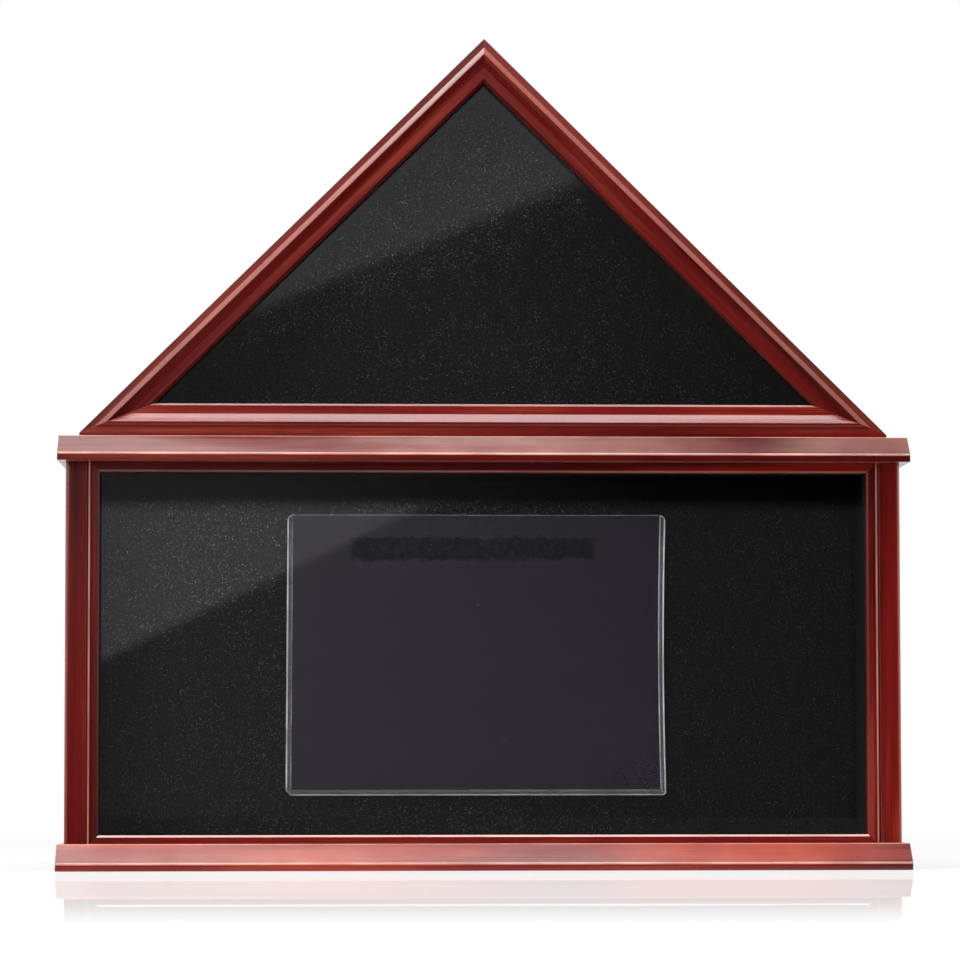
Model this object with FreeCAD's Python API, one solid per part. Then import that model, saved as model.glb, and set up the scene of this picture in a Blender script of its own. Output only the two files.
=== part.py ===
import FreeCAD, Part
import math
import os
from FreeCAD import Vector

# Folded flag display case: a triangular glazed case on a glazed base for a certificate.
# Millimetres. X runs left to right, Y front to back, Z up.
# The origin is under the middle of the whole case, hardware behind it included.

# Base carcass
case_width = 650.0          # plinth and cornice, end to end
side_overhang = 4.5         # plinth and cornice beyond the posts at each end
front_overhang = 22.0       # plinth and cornice in front of the posts
body_depth = 90.0           # posts, front to back
body_height = 291.0         # posts, between plinth and cornice
board_thickness = 20.2      # plinth and cornice
nosing = 14.5               # 45 degree slope along the front of plinth and cornice
nosing_round = 1.2          # rounded arrises above and below the slope
post_thickness = 19.5
post_round = 3.0            # rounded outer front arris of each post
bead_width = 2.2            # half round bead on the inner front arris of each post
quirk_width = 1.0           # groove beside the bead

# Glazed frame of the base
frame_width = 6.4
frame_depth = 10.0
frame_setback = 2.0         # behind the face of the posts
frame_lip_width = 1.5       # chamfer round the window
frame_lip_drop = 1.0

# Flag case, an isosceles triangle standing on its long side
foot_height = 2.4           # bottom board and bottom moulding below the corners of the triangle
flag_half_width = 310.0
flag_rise = 306.2           # a little less than half its width, so its legs lean just below 45 degrees
flag_board_thickness = 18.0
flag_forward = 4.0          # crest of the moulding in front of the posts

# Moulding of the flag case, from its outer edge inwards
moulding_depth = 14.0       # crest to the back of the moulding
band_width = 4.6            # flat outer band
band_drop = 2.2             # band behind the crest
ovolo_width = 4.2           # rounded rise from the band to the crest
ovolo_bulge = 0.15          # rounding in front of a straight rise
bevel_width = 6.6           # fall from the crest to the strip
bevel_hollow = 0.2          # hollow behind a straight fall
strip_width = 6.3           # flat strip beside the window
strip_drop = 4.5            # strip behind the crest
lip_width = 1.6             # chamfer round the window
lip_drop = 1.1

# Panes, linings and backs
pane_thickness = 2.0
lining_thickness = 3.0
panel_thickness = 4.0
felt_thickness = 1.0
rabbet_width = 8.0          # step behind posts, cornice and plinth that takes the panel
flag_rabbet_width = 7.0     # step behind the flag boards that takes the panel
panel_recess = 0.3          # back of a panel inside the back of the case
seat_gap = 0.2              # panel in front of the bottom of its rabbet
fit_gap = 0.5               # round the edges of panes, panels and felts

# Document sleeve on the felt of the base
sleeve_width = 298.0
sleeve_height = 222.0
sleeve_shift = -2.5         # left of the middle of the window
sleeve_lift = 1.5           # above the middle of the window
film_thickness = 0.4
pocket_gap = 0.8            # between the two films
seam_width = 4.0
sleeve_round = 5.0          # corners at the open top
tape_width = 195.0
tape_height = 20.0
tape_thickness = 1.5
tape_shift = -4.0           # left of the middle of the sleeve
tape_drop = 17.0            # below the top of the sleeve

# Turn buttons and their screws
button_length = 16.0        # pivot to the centre of the small end
button_round = 4.5          # big end, round the pivot
button_tip = 3.0            # small end
button_thickness = 1.5
button_gap = 0.3            # between the back of the case and a button
head_gap = 0.2              # between a button and its screw head
head_radius = 3.4
head_height = 2.0
pivot_radius = 1.5
pivot_depth = 12.0          # screw in the wood
running_clearance = 0.05    # round a shank, in a button or in wood
post_button_height = 70.0   # above the plinth
cornice_button_spread = 190.0  # each side of the middle

# Carcass fasteners
screw_radius = 2.0
screw_head_radius = 4.3     # where the slope of the head meets the face
screw_bite = 26.0           # plinth screw in a post
screw_sink = 0.3            # end of the head inside the face
flag_screw_bite = 12.0      # cornice screw in the flag case
flag_screw_spacing = 120.0  # each side of the middle
dowel_radius = 4.0
dowel_in_post = 16.0
dowel_in_cornice = 12.0
joint_inset = 22.0          # fasteners from the front and back of a post

# Places that follow from these sizes
hardware_proud = button_gap + button_thickness + head_gap + head_height
case_depth = front_overhang + body_depth
front = -(case_depth + hardware_proud) / 2
post_face = front + front_overhang
back = front + case_depth
half_body = case_width / 2 - side_overhang
half_inside = half_body - post_thickness
floor_z = board_thickness
ceiling_z = floor_z + body_height
cornice_top = ceiling_z + board_thickness
flag_z = cornice_top + foot_height
rabbet_depth = panel_thickness + seat_gap + panel_recess
rabbet_face = back - rabbet_depth
panel_face = rabbet_face + seat_gap
felt_face = panel_face - felt_thickness
frame_face = post_face + frame_setback
pane_face = frame_face + frame_depth
lining_face = pane_face + pane_thickness
moulding_face = post_face - flag_forward
flag_pane_face = moulding_face + moulding_depth
flag_lining_face = flag_pane_face + pane_thickness
button_face = back + button_gap
mid_x = 0.0

os.makedirs("parts", exist_ok=True)
along_y = Vector(0, 1, 0)
along_z = Vector(0, 0, 1)


def save(name, *solids):
    shape = solids[0] if len(solids) == 1 else Part.makeCompound(list(solids))
    shape.exportStep("parts/" + name + ".step")


def box(x0, x1, y0, y1, z0, z1):
    return Part.makeBox(x1 - x0, y1 - y0, z1 - z0, Vector(x0, y0, z0))


def wire_of(steps):
    # A closed wire from a first point and then ends of lines, or (middle, end) pairs of arcs.
    start = steps[0]
    edges = []
    here = start
    for step in steps[1:] + [start]:
        if isinstance(step, tuple):
            edges.append(Part.Arc(here, step[0], step[1]).toShape())
            here = step[1]
        elif step.distanceToPoint(here) > 1e-7:
            edges.append(Part.LineSegment(here, step).toShape())
            here = step
    return Part.Wire(edges)


def plate(outline, y0, y1):
    # A flat plate from an outline of (x, z) corners, between two depths.
    corners = [Vector(x, y0, z) for x, z in outline]
    return Part.Face(Part.makePolygon(corners + corners[:1])).extrude(along_y * (y1 - y0))


def inset(outline, distance):
    # The outline of a convex shape moved inwards; its corners run anticlockwise in X and Z.
    lines = []
    for (x0, z0), (x1, z1) in zip(outline, outline[1:] + outline[:1]):
        length = math.hypot(x1 - x0, z1 - z0)
        nx, nz = (z0 - z1) / length, (x1 - x0) / length
        lines.append((nx, nz, nx * x0 + nz * z0 + distance))
    moved = []
    for (ax, az, ac), (bx, bz, bc) in zip(lines[-1:] + lines[:-1], lines):
        cross = ax * bz - az * bx
        moved.append(((ac * bz - az * bc) / cross, (ax * bc - ac * bx) / cross))
    return moved


def mitred_member(outline, side, outer, inner, y0, y1):
    # One side of a mitred frame, between two insets of its outline.
    far, near = inset(outline, outer), inset(outline, inner)
    after = (side + 1) % len(outline)
    return plate([far[side], far[after], near[after], near[side]], y0, y1)


def mitred_moulding(outline, side, width, face, profile):
    # One side of a mitred moulding. The profile is given as (inwards, backwards) places.
    after = (side + 1) % len(outline)
    (x0, z0), (x1, z1) = outline[side], outline[after]
    run = Vector(x1 - x0, 0, z1 - z0)
    inwards = Vector(z0 - z1, 0, x1 - x0).normalize()
    start = Vector(x0, face, z0)

    def place(spot):
        return start + inwards * spot[0] + along_y * spot[1]

    steps = []
    for step in profile:
        if isinstance(step[0], tuple):
            steps.append((place(step[0]), place(step[1])))
        else:
            steps.append(place(step))
    deepest = max(s[1] for s in profile if not isinstance(s[0], tuple))
    bar = Part.Face(wire_of(steps)).extrude(run)
    return bar.common(mitred_member(outline, side, 0, width, face - deepest, face + deepest))


def hole(x, y, z, direction, length, radius):
    return Part.makeCylinder(radius, length, Vector(x, y, z), direction)


def countersunk(x, y, z, start, length, clearance):
    # A screw that points up from z, or the hole for it. It starts on the slope of its head.
    head_depth = screw_head_radius - screw_radius
    steps = [
        Vector(x, y, z + start),
        Vector(x + screw_head_radius - start + clearance, y, z + start),
        Vector(x + screw_radius + clearance, y, z + head_depth),
        Vector(x + screw_radius + clearance, y, z + length),
        Vector(x, y, z + length),
    ]
    return Part.Face(wire_of(steps)).revolve(Vector(x, y, z), along_z, 360)


def sunk_screw(x, y, z, length):
    return countersunk(x, y, z, screw_sink, length, 0)


def sunk_hole(x, y, z, length):
    return countersunk(x, y, z, 0, length + running_clearance, running_clearance)


def nosed_board(z):
    # Plinth or cornice: a square-ended board whose front edge slopes back at 45 degrees.
    end_x = -case_width / 2
    lip_z, top_z = z + board_thickness - nosing, z + board_thickness
    arris = nosing_round * math.tan(math.pi / 8)
    slant = arris * math.sqrt(0.5)
    sagitta = nosing_round * (1 / math.cos(math.pi / 8) - 1)
    tip_y, tip_z = sagitta * math.cos(math.pi / 8), sagitta * math.sin(math.pi / 8)

    def at(y, height):
        return Vector(end_x, y, height)

    steps = [
        at(back, z),
        at(front, z),
        at(front, lip_z - arris),
        (at(front + tip_y, lip_z - tip_z), at(front + slant, lip_z + slant)),
        at(front + nosing - slant, top_z - slant),
        (at(front + nosing + tip_z, top_z - tip_y), at(front + nosing + arris, top_z)),
        at(back, top_z),
    ]
    return Part.Face(wire_of(steps)).extrude(Vector(case_width, 0, 0))


def post(side):
    # side is -1 for the left post and 1 for the right one.
    # Places are measured inwards from its outer face and backwards from its front.
    def at(inwards, behind):
        return Vector(side * (half_body - inwards), post_face + behind, floor_z)

    bend = post_round * (1 - math.sqrt(0.5))
    bead = bead_width / 2
    groove = post_thickness - bead_width - quirk_width
    steps = [
        at(0, body_depth),
        at(0, post_round),
        (at(bend, bend), at(post_round, 0)),
        at(groove, 0),
        at(groove, bead),
        at(post_thickness - bead_width, bead),
        (at(post_thickness - bead, 0), at(post_thickness, bead)),
        at(post_thickness, body_depth - rabbet_depth),
        at(post_thickness - rabbet_width, body_depth - rabbet_depth),
        at(post_thickness - rabbet_width, body_depth),
    ]
    return Part.Face(wire_of(steps)).extrude(along_z * body_height)


def turn_button(x, z, angle):
    # A flat teardrop plate on a pivot, pointing along the angle in the plane of the back.
    lean = math.acos((button_round - button_tip) / button_length)
    turn = math.radians(angle)

    def at(radius, centre, bearing):
        u = centre + radius * math.cos(bearing)
        v = radius * math.sin(bearing)
        return Vector(
            x + u * math.cos(turn) - v * math.sin(turn),
            button_face,
            z + u * math.sin(turn) + v * math.cos(turn),
        )

    steps = [
        at(button_round, 0, lean),
        (at(button_round, 0, math.pi), at(button_round, 0, -lean)),
        at(button_tip, button_length, -lean),
        (at(button_tip, button_length, 0), at(button_tip, button_length, lean)),
    ]
    plate_shape = Part.Face(wire_of(steps)).extrude(along_y * button_thickness)
    bore = hole(x, button_face, z, along_y, button_thickness, pivot_radius + running_clearance)
    return plate_shape.cut(bore)


def pivot_screw(x, z):
    # A cheese head screw through a turn button.
    seat = button_face + button_thickness + head_gap
    head_top = seat + head_height
    steps = [
        Vector(x, back - pivot_depth, z),
        Vector(x + pivot_radius, back - pivot_depth, z),
        Vector(x + pivot_radius, seat, z),
        Vector(x + head_radius, seat, z),
        Vector(x + head_radius, head_top, z),
        Vector(x, head_top, z),
    ]
    return Part.Face(wire_of(steps)).revolve(Vector(x, back, z), along_y, 360)


def pivot_hole(x, z):
    start = back - pivot_depth - head_gap
    return hole(x, start, z, along_y, back - start, pivot_radius + running_clearance)


# Outlines in X and Z, anticlockwise seen from the front
window_outline = [
    (-half_inside, floor_z),
    (half_inside, floor_z),
    (half_inside, ceiling_z),
    (-half_inside, ceiling_z),
]
flag_outline = [(-flag_half_width, flag_z), (flag_half_width, flag_z), (mid_x, flag_z + flag_rise)]
window_sides = ["bottom", "right", "top", "left"]
flag_sides = ["bottom", "right", "left"]

# Turn buttons: name, x, z and the way each points while it is parked clear of its panel
post_land = half_body - (post_thickness - rabbet_width) / 2
cornice_land = cornice_top - (board_thickness - rabbet_width) / 2
flag_land = (flag_board_thickness - flag_rabbet_width) / 2
(land_x, land_low), _, (_, land_high) = inset(flag_outline, flag_land)
leg_x, leg_z = -land_x / 2, (land_low + land_high) / 2
leg_lean = math.degrees(math.atan2(flag_rise, flag_half_width))
post_button_z = floor_z + post_button_height
certificate_buttons = [
    ("post_button_left", -post_land, post_button_z, -90),
    ("post_button_right", post_land, post_button_z, -90),
    ("cornice_button_left", -cornice_button_spread, cornice_land, 180),
    ("cornice_button_right", cornice_button_spread, cornice_land, 0),
]
flag_buttons = [
    ("flag_button_left", -leg_x, leg_z, leg_lean - 180),
    ("flag_button_right", leg_x, leg_z, -leg_lean),
    ("flag_button_bottom", mid_x, flag_z + flag_land, 0),
]

# Where screws and dowels stand
post_mid = half_body - post_thickness / 2
post_ys = [post_face + joint_inset, back - joint_inset]
post_spots = [(x, y) for x in (-post_mid, post_mid) for y in post_ys]
flag_screw_y = (flag_pane_face + back) / 2
flag_screw_xs = [-flag_screw_spacing, flag_screw_spacing]
plinth_reach = board_thickness + screw_bite
flag_reach = board_thickness + foot_height + flag_screw_bite
plinth_screws = [sunk_screw(x, y, 0, plinth_reach) for x, y in post_spots]
plinth_holes = [sunk_hole(x, y, 0, plinth_reach) for x, y in post_spots]
flag_screws = [sunk_screw(x, flag_screw_y, ceiling_z, flag_reach) for x in flag_screw_xs]
flag_holes = [sunk_hole(x, flag_screw_y, ceiling_z, flag_reach) for x in flag_screw_xs]
dowel_start = ceiling_z - dowel_in_post
dowel_length = dowel_in_post + dowel_in_cornice
dowels = [hole(x, y, dowel_start, along_z, dowel_length, dowel_radius) for x, y in post_spots]
dowel_holes = [
    hole(
        x, y, dowel_start - running_clearance, along_z,
        dowel_length + 2 * running_clearance, dowel_radius + running_clearance,
    )
    for x, y in post_spots
]
pivot_holes = [pivot_hole(x, z) for _, x, z, _ in certificate_buttons + flag_buttons]

# Base carcass
panel_half = half_inside + rabbet_width
panel_low, panel_high = floor_z - rabbet_width, ceiling_z + rabbet_width
panel_step = box(-panel_half, panel_half, rabbet_face, back + fit_gap, panel_low, panel_high)
save("plinth_board", nosed_board(0).cut(plinth_holes + [panel_step]))
cornice_cuts = dowel_holes + flag_holes + pivot_holes + [panel_step]
save("cornice_board", nosed_board(ceiling_z).cut(cornice_cuts))
for name, side in (("left_post", -1), ("right_post", 1)):
    save(name, post(side).cut(plinth_holes + dowel_holes + pivot_holes))

# Glazed frame, pane and linings of the base
frame_profile = [
    (0, 0),
    (frame_width - frame_lip_width, 0),
    (frame_width, frame_lip_drop),
    (frame_width, frame_depth),
    (0, frame_depth),
]
for side, name in enumerate(window_sides):
    frame_bar = mitred_moulding(window_outline, side, frame_width, frame_face, frame_profile)
    save("inner_frame_" + name, frame_bar)
    lining = mitred_member(window_outline, side, 0, lining_thickness, lining_face, rabbet_face)
    save("certificate_lining_" + name, lining)
save("certificate_pane", plate(inset(window_outline, fit_gap), pane_face, lining_face))

# Back of the base: panel, felt, hook tape and document sleeve
panel_outline = inset(window_outline, fit_gap - rabbet_width)
save("certificate_back_panel", plate(panel_outline, panel_face, panel_face + panel_thickness))
felt_outline = inset(window_outline, lining_thickness + fit_gap)
save("certificate_back_felt", plate(felt_outline, felt_face, panel_face))

sleeve_x = mid_x + sleeve_shift
sleeve_z = (floor_z + ceiling_z) / 2 + sleeve_lift
sleeve_left, sleeve_right = sleeve_x - sleeve_width / 2, sleeve_x + sleeve_width / 2
sleeve_bottom, sleeve_top = sleeve_z - sleeve_height / 2, sleeve_z + sleeve_height / 2
tape_face = felt_face - tape_thickness
back_film_face = tape_face - film_thickness
seam_face = back_film_face - pocket_gap
front_film_face = seam_face - film_thickness


def rounded_film(y0, thickness):
    # A sheet of the sleeve's outline, with rounded corners at its open top.
    bend = sleeve_round * (1 - math.sqrt(0.5))

    def at(x, z):
        return Vector(x, y0, z)

    steps = [
        at(sleeve_left, sleeve_bottom),
        at(sleeve_right, sleeve_bottom),
        at(sleeve_right, sleeve_top - sleeve_round),
        (at(sleeve_right - bend, sleeve_top - bend), at(sleeve_right - sleeve_round, sleeve_top)),
        at(sleeve_left + sleeve_round, sleeve_top),
        (at(sleeve_left + bend, sleeve_top - bend), at(sleeve_left, sleeve_top - sleeve_round)),
    ]
    return Part.Face(wire_of(steps)).extrude(along_y * thickness)


pocket = box(
    sleeve_left + seam_width, sleeve_right - seam_width, seam_face, back_film_face,
    sleeve_bottom + seam_width, sleeve_top,
)
tape_x = sleeve_x + tape_shift
tape_top = sleeve_top - tape_drop
save("sleeve_front_film", rounded_film(front_film_face, film_thickness))
save("sleeve_back_film", rounded_film(back_film_face, film_thickness))
save("sleeve_seam", rounded_film(seam_face, pocket_gap).cut(pocket))
save(
    "hook_tape",
    box(
        tape_x - tape_width / 2, tape_x + tape_width / 2, tape_face, felt_face,
        tape_top - tape_height, tape_top,
    ),
)

# Flag case: boards, moulding, pane, linings, panel and felt
flag_step = plate(
    inset(flag_outline, flag_board_thickness - flag_rabbet_width), rabbet_face, back + fit_gap
)
crest = band_width + ovolo_width
bevel_end = crest + bevel_width
strip_end = bevel_end + strip_width
moulding_width = strip_end + lip_width
band_face = moulding_face + band_drop
moulding_profile = [
    (0, band_drop),
    (band_width, band_drop),
    ((band_width + ovolo_width / 2, band_drop / 2 - ovolo_bulge), (crest, 0)),
    ((crest + bevel_width / 2, strip_drop / 2 + bevel_hollow), (bevel_end, strip_drop)),
    (strip_end, strip_drop),
    (moulding_width, strip_drop + lip_drop),
    (moulding_width, moulding_depth),
    (0, moulding_depth),
]


def footed(solid, side, y0, y1):
    # The bottom member stands on a foot as long as the triangle is wide.
    if side > 0:
        return solid
    foot = box(-flag_half_width, flag_half_width, y0, y1, cornice_top, flag_z)
    return solid.fuse(foot).removeSplitter()


for side, name in enumerate(flag_sides):
    board = mitred_member(flag_outline, side, 0, flag_board_thickness, flag_pane_face, back)
    board = footed(board, side, flag_pane_face, back)
    save("flag_board_" + name, board.cut(flag_holes + pivot_holes + [flag_step]))
    moulding = mitred_moulding(flag_outline, side, moulding_width, moulding_face, moulding_profile)
    save("flag_moulding_" + name, footed(moulding, side, band_face, flag_pane_face))
    lining_end = flag_board_thickness + lining_thickness
    lining = mitred_member(
        flag_outline, side, flag_board_thickness, lining_end, flag_lining_face, rabbet_face
    )
    save("flag_lining_" + name, lining)
flag_pane = plate(inset(flag_outline, flag_board_thickness + fit_gap), flag_pane_face, flag_lining_face)
save("flag_pane", flag_pane)
flag_panel_outline = inset(flag_outline, flag_board_thickness - flag_rabbet_width + fit_gap)
save("flag_back_panel", plate(flag_panel_outline, panel_face, panel_face + panel_thickness))
flag_felt_outline = inset(flag_outline, flag_board_thickness + lining_thickness + fit_gap)
save("flag_back_felt", plate(flag_felt_outline, felt_face, panel_face))

# Turn buttons and fasteners
for name, x, z, angle in certificate_buttons + flag_buttons:
    save(name, turn_button(x, z, angle))
save("certificate_pivot_screws", *[pivot_screw(x, z) for _, x, z, _ in certificate_buttons])
save("flag_pivot_screws", *[pivot_screw(x, z) for _, x, z, _ in flag_buttons])
save("plinth_screws", *plinth_screws)
save("flag_case_screws", *flag_screws)
save("cornice_dowels", *dowels)
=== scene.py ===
import math

import bpy
import numpy as np
from mathutils import Matrix, Vector


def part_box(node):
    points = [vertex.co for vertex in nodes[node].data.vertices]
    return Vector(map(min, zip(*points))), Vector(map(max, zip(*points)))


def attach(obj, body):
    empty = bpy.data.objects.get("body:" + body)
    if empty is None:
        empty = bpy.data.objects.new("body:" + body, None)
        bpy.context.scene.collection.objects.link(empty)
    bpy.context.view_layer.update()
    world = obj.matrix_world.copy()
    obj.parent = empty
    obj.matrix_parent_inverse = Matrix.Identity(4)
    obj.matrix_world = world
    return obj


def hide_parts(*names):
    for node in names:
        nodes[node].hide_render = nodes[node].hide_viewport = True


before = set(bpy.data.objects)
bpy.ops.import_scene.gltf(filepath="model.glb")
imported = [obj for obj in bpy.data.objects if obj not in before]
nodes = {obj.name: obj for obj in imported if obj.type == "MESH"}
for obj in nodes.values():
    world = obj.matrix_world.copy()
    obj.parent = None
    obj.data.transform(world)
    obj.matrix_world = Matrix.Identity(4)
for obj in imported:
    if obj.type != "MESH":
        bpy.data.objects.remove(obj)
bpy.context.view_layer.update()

white = (1.0, 1.0, 1.0, 1.0)
scene = bpy.context.scene
scene.view_settings.view_transform = "Standard"
print("frame loaded:", len(nodes), "nodes")


# Node helpers

def fillSockets(tree, node, sockets):
    for key, value in sockets.items():
        if isinstance(value, bpy.types.NodeSocket):
            tree.links.new(value, node.inputs[key])
        else:
            node.inputs[key].default_value = value


def addNode(tree, kind, sockets=None, **settings):
    node = tree.nodes.new("ShaderNode" + kind)
    for key, value in settings.items():
        setattr(node, key, value)
    fillSockets(tree, node, sockets or {})
    return node


def addGroup(tree, group, sockets):
    node = tree.nodes.new("ShaderNodeGroup")
    node.node_tree = group
    fillSockets(tree, node, sockets)
    return node.outputs


def addShader(tree, kind, sockets):
    return addNode(tree, kind, sockets).outputs[0]


def mixShaders(tree, factor, a, b):
    return addShader(tree, "MixShader", {0: factor, 1: a, 2: b})


def doMath(tree, operation, a, b=0.0):
    return addNode(tree, "Math", {0: a, 1: b}, operation=operation).outputs[0]


def plus(tree, a, b):
    return doMath(tree, "ADD", a, b)


def minus(tree, a, b):
    return doMath(tree, "SUBTRACT", a, b)


def times(tree, a, b):
    return doMath(tree, "MULTIPLY", a, b)


def larger(tree, a, b):
    return doMath(tree, "MAXIMUM", a, b)


def offFrom(tree, value, middle):
    return doMath(tree, "ABSOLUTE", minus(tree, value, middle))


def blend(tree, share, a, b):
    return plus(tree, times(tree, a, minus(tree, 1.0, share)), times(tree, b, share))


def spread(tree, value, low, high, start=0.0, end=1.0):
    # smooth step of a value from low..high to start..end; a step in a dictionary holds these numbers
    sockets = {"Value": value, "From Min": low, "From Max": high, "To Min": start, "To Max": end}
    return addNode(tree, "MapRange", sockets, interpolation_type="SMOOTHSTEP").outputs["Result"]


def vectorMath(tree, operation, a, b):
    return addNode(tree, "VectorMath", {0: a, 1: b}, operation=operation).outputs


def dotOf(tree, a, b):
    return vectorMath(tree, "DOT_PRODUCT", a, b)["Value"]


def splitOf(tree, vector):
    return addNode(tree, "SeparateXYZ", {0: vector}).outputs


def mixColors(tree, factor, a, b):
    return addNode(tree, "Mix", {0: factor, 6: a, 7: b}, data_type="RGBA").outputs[2]


def noiseOf(tree, place, scale, detail=2.0, roughness=0.5):
    # scale is one number, or one for each axis; a noise in a dictionary holds the last three
    stretch = scale if isinstance(scale, tuple) else (scale, scale, scale)
    vector = vectorMath(tree, "MULTIPLY", place, stretch)[0]
    sockets = {"Vector": vector, "Scale": 1.0, "Detail": detail, "Roughness": roughness}
    return addNode(tree, "TexNoise", sockets).outputs[0]


def noiseMask(tree, place, noise, step):
    return spread(tree, noiseOf(tree, place, *noise), *step)


def ownPlace(tree):
    return addNode(tree, "TexCoord").outputs["Object"]


def makeGroup(name, inputs, outputs):
    # inputs and outputs are {name of a socket: its kind}
    group = bpy.data.node_groups.new(name, "ShaderNodeTree")
    for label, kind in inputs.items():
        group.interface.new_socket(label, in_out="INPUT", socket_type="NodeSocket" + kind)
    for label, kind in outputs.items():
        group.interface.new_socket(label, in_out="OUTPUT", socket_type="NodeSocket" + kind)
    given = group.nodes.new("NodeGroupInput").outputs
    made = group.nodes.new("NodeGroupOutput").inputs
    return group, given, made


def newMaterial(name):
    material = bpy.data.materials.new(name)
    material.use_nodes = True
    tree = material.node_tree
    tree.nodes.clear()
    surface = tree.nodes.new("ShaderNodeOutputMaterial").inputs["Surface"]
    return material, tree, surface


def paint(names, material):
    for name in names:
        slots = nodes[name].data.materials
        slots.clear()
        slots.append(material)


# Mesh helpers

def boxOf(node):
    low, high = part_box(node)
    return np.array(low), np.array(high)


def gridOf(across, along):
    return np.meshgrid(across, along, indexing="ij")


def gridMesh(name, points):
    # a mesh from an array of points [u, v, 3], with a UV map of the grid
    rows, columns = points.shape[:2]
    index = np.arange(rows * columns).reshape(rows, columns)
    corners = [index[:-1, :-1], index[1:, :-1], index[1:, 1:], index[:-1, 1:]]
    quads = np.stack(corners, -1).reshape(-1, 4)
    mesh = bpy.data.meshes.new(name)
    mesh.from_pydata(points.reshape(-1, 3).tolist(), [], quads.tolist())
    grid = gridOf(np.linspace(0, 1, rows), np.linspace(0, 1, columns))
    spots = np.stack(grid, -1).reshape(-1, 2)[quads.reshape(-1)]
    mesh.uv_layers.new(name="gridPlace").data.foreach_set("uv", spots.reshape(-1))
    mesh.polygons.foreach_set("use_smooth", np.ones(len(quads), bool))
    mesh.update()
    return mesh


def addPiece(name, x, y, z, material):
    mesh = gridMesh(name, np.stack([x, y, z], -1))
    piece = bpy.data.objects.new(name, mesh)
    scene.collection.objects.link(piece)
    mesh.materials.append(material)
    return piece


def thicken(piece, thickness):
    # walls grow backwards, away from the face
    solid = piece.modifiers.new("thickness", "SOLIDIFY")
    solid.thickness = thickness
    solid.offset = -1.0


def belong(piece, body, node):
    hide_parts(node)
    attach(piece, body)


# Grain of the mahogany, shared by its members

grainPattern = {
    "figure": ((2.2, 24.0, 24.0), 2.0),   # noises, stretched along the grain
    "streak": ((5.0, 130.0, 130.0), 2.0),
    "fibre": ((22.0, 900.0, 900.0), 1.0),
    "pore": ((60.0, 1900.0, 1900.0), 0.0),
    "shares": {"figure": 0.6, "streak": 0.3, "fibre": 0.1},
    "tones": (0.37, 0.5, 0.63),           # where the tone is dark, red and warm
    "open": (0.6, 0.72),                  # step of a pore
    "poreShade": 0.3,
    "gloss": (0.3, 0.7, 0.15, 0.21),      # step of the roughness over the streaks
    "raised": 0.4,                        # height of the fibres beside the depth of a pore
}


def buildGrain():
    inputs = {"Vector": "Vector", "Dark": "Color", "Red": "Color", "Warm": "Color"}
    outputs = {"Color": "Color", "Roughness": "Float", "Height": "Float"}
    group, given, made = makeGroup("mahoganyGrain", inputs, outputs)
    layers = {}
    for name in ("figure", "streak", "fibre", "pore"):
        layers[name] = noiseOf(group, given["Vector"], *grainPattern[name])
    tone = 0.0
    for name, share in grainPattern["shares"].items():
        tone = plus(group, tone, times(group, layers[name], share))
    dark, red, warm = grainPattern["tones"]
    color = mixColors(group, spread(group, tone, dark, red), given["Dark"], given["Red"])
    color = mixColors(group, spread(group, tone, red, warm), color, given["Warm"])
    pores = spread(group, layers["pore"], *grainPattern["open"])
    color = mixColors(group, times(group, pores, grainPattern["poreShade"]), color, given["Dark"])
    relief = minus(group, times(group, layers["fibre"], grainPattern["raised"]), pores)
    group.links.new(color, made["Color"])
    group.links.new(spread(group, layers["streak"], *grainPattern["gloss"]), made["Roughness"])
    group.links.new(relief, made["Height"])
    return group


# Rounded edges, shared by wood and steel

arrisPattern = {
    "samples": 6,
    "edge": (0.995, 0.8),   # step of the cosine between the plain normal and the rounded one
}


def buildArris():
    # normals rounded over the edges of a piece, and a mask of those edges
    group, given, made = makeGroup("softArris", {"Radius": "Float"}, {"Normal": "Vector", "Edge": "Float"})
    bevel = addNode(group, "Bevel", {"Radius": given["Radius"]}, samples=arrisPattern["samples"])
    rounded = bevel.outputs[0]
    plain = addNode(group, "NewGeometry").outputs["Normal"]
    edge = spread(group, dotOf(group, rounded, plain), *arrisPattern["edge"])
    group.links.new(rounded, made["Normal"])
    group.links.new(edge, made["Edge"])
    return group


# Fibres and lint of the felt

feltPattern = {
    "nap": (900.0, 2.0, 0.7),
    "napShade": (0.3, 0.8, 0.0, 0.16),
    "speck": (620.0, 1.0),
    "specks": (0.56, 0.74),
    "cloud": (14.0, 2.0),
    "clouds": (0.25, 0.75, 0.35, 0.9),   # specks come in clouds
    "hairs": 760.0,                      # cells for each metre, a hair of lint in some of them
    "hair": (0.36, 0.12),                # its step from its edge to its core, in cells
    "picked": (0.5, 1.0),
    "clump": (110.0, 3.0),
    "clumps": (0.34, 0.68),              # hairs come in clumps
}


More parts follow.
